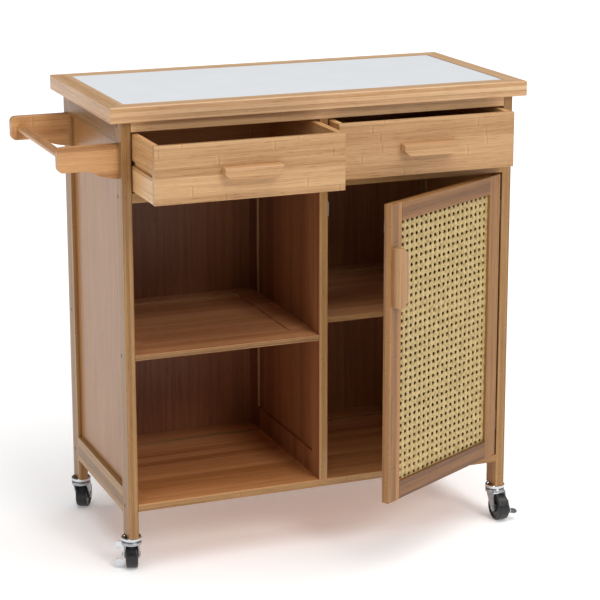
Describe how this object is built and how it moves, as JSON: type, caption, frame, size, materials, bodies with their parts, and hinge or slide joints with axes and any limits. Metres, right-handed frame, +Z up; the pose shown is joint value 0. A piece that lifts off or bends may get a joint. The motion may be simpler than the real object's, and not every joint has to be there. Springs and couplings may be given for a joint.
{
  "type": "rolling utility cart",
  "caption": "Bamboo kitchen trolley with white inlaid top, open shelves, drawers, a hinged cane door, a side towel rail and swivel casters.",
  "frame": {"origin": "on the floor, under the middle of the worktop", "axes": "+X along the worktop's width towards the door, -Y towards the drawer fronts, +Z up"},
  "size_m": [0.8892, 0.5824, 0.862],
  "materials": {
    "bamboo": "satin clear lacquer over laminated bamboo",
    "bamboo_panel": "gloss lacquered bamboo ply",
    "inlay": "smooth white sheet, low gloss",
    "cane": "natural woven cane webbing",
    "chrome": "bright plated",
    "bright_steel": "zinc plated, slightly dull",
    "wheel": "black nylon with a fine satin sheen",
    "dark_screw": "black oxide",
    "catch_shell": "satin"
  },
  "bodies": {
    "carcass": {"worktop_board": "bamboo", "worktop_rim": "bamboo", "leg_front_left": "bamboo", "leg_front_right": "bamboo", "leg_rear_left": "bamboo", "leg_rear_right": "bamboo", "side_rail_low_left": "bamboo", "side_rail_low_right": "bamboo", "side_rail_top_left": "bamboo", "side_rail_top_right": "bamboo", "front_top_rail": "bamboo", "rear_top_rail": "bamboo", "drawer_rails": "bamboo", "bottom_board": "bamboo", "divider": "bamboo", "shelf_left": "bamboo", "shelf_right": "bamboo", "drawer_runners": "bamboo", "towel_brackets": "bamboo", "towel_rod": "bamboo", "side_panel_left": "bamboo_panel", "side_panel_right": "bamboo_panel", "back_panel": "bamboo_panel", "worktop_inlay": "inlay", "shelf_pins": "bright_steel", "carcass_screws": "dark_screw", "door_catch": "catch_shell", "hinge_leaves_leg": "bright_steel", "hinge_pins": "bright_steel", "caster_stems": "chrome"},
    "drawer_left": {"drawer_left_front": "bamboo", "drawer_left_divider_side": "bamboo", "drawer_left_leg_side": "bamboo", "drawer_left_back": "bamboo", "drawer_left_floor": "bamboo_panel", "drawer_left_handle": "bamboo"},
    "drawer_right": {"drawer_right_front": "bamboo", "drawer_right_divider_side": "bamboo", "drawer_right_leg_side": "bamboo", "drawer_right_back": "bamboo", "drawer_right_floor": "bamboo_panel", "drawer_right_handle": "bamboo"},
    "door": {"door_stile_hinge": "bamboo", "door_stile_free": "bamboo", "door_rail_low": "bamboo", "door_rail_top": "bamboo", "door_cane": "cane", "door_handle": "bamboo", "door_strike_plate": "bright_steel", "hinge_leaves_door": "bright_steel"},
    "caster_front_left": {"caster_fork_front_left": "bright_steel"},
    "wheel_front_left": {"caster_wheel_front_left": "wheel"},
    "brake_front_left": {"brake_lever_front_left": "chrome"},
    "caster_front_right": {"caster_fork_front_right": "bright_steel"},
    "wheel_front_right": {"caster_wheel_front_right": "wheel"},
    "brake_front_right": {"brake_lever_front_right": "chrome"},
    "caster_rear_left": {"caster_fork_rear_left": "bright_steel"},
    "wheel_rear_left": {"caster_wheel_rear_left": "wheel"},
    "caster_rear_right": {"caster_fork_rear_right": "bright_steel"},
    "wheel_rear_right": {"caster_wheel_rear_right": "wheel"}
  },
  "joints": [
    {"name": "drawer_left_slide", "type": "slide", "parent": "carcass", "child": "drawer_left", "axis": [0, -1, 0], "range_m": [-0.125, 0.125]},
    {"name": "drawer_right_slide", "type": "slide", "parent": "carcass", "child": "drawer_right", "axis": [0, -1, 0], "range_m": [-0.047, 0.203]},
    {"name": "door_hinge", "type": "hinge", "parent": "carcass", "child": "door", "pos_m": [0.3576, -0.184, 0.4115], "axis": [0, 0, 1], "range_deg": [-29.5, 65]},
    {"name": "swivel_front_left", "type": "hinge", "parent": "carcass", "child": "caster_front_left", "pos_m": [-0.369, -0.1665, 0.0565], "axis": [0, 0, 1], "continuous": true},
    {"name": "roll_front_left", "type": "hinge", "parent": "caster_front_left", "child": "wheel_front_left", "pos_m": [-0.36344, -0.14938, 0.025], "axis": [-0.9511, 0.309, 0], "continuous": true},
    {"name": "brake_rock_front_left", "type": "hinge", "parent": "caster_front_left", "child": "brake_front_left", "pos_m": [-0.36344, -0.14938, 0.025], "axis": [-0.9511, 0.309, 0], "range_deg": [0, 18]},
    {"name": "swivel_front_right", "type": "hinge", "parent": "carcass", "child": "caster_front_right", "pos_m": [0.369, -0.1665, 0.0565], "axis": [0, 0, 1], "continuous": true},
    {"name": "roll_front_right", "type": "hinge", "parent": "caster_front_right", "child": "wheel_front_right", "pos_m": [0.36963, -0.18449, 0.025], "axis": [0.9994, 0.0349, 0], "continuous": true},
    {"name": "brake_rock_front_right", "type": "hinge", "parent": "caster_front_right", "child": "brake_front_right", "pos_m": [0.36963, -0.18449, 0.025], "axis": [0.9994, 0.0349, 0], "range_deg": [0, 18]},
    {"name": "swivel_rear_left", "type": "hinge", "parent": "carcass", "child": "caster_rear_left", "pos_m": [-0.369, 0.1705, 0.0565], "axis": [0, 0, 1], "continuous": true},
    {"name": "roll_rear_left", "type": "hinge", "parent": "caster_rear_left", "child": "wheel_rear_left", "pos_m": [-0.36, 0.18609, 0.025], "axis": [-0.866, 0.5, 0], "continuous": true},
    {"name": "swivel_rear_right", "type": "hinge", "parent": "carcass", "child": "caster_rear_right", "pos_m": [0.369, 0.1705, 0.0565], "axis": [0, 0, 1], "continuous": true},
    {"name": "roll_rear_right", "type": "hinge", "parent": "caster_rear_right", "child": "wheel_rear_right", "pos_m": [0.37516, 0.18741, 0.025], "axis": [-0.9397, 0.342, 0], "continuous": true}
  ]
}
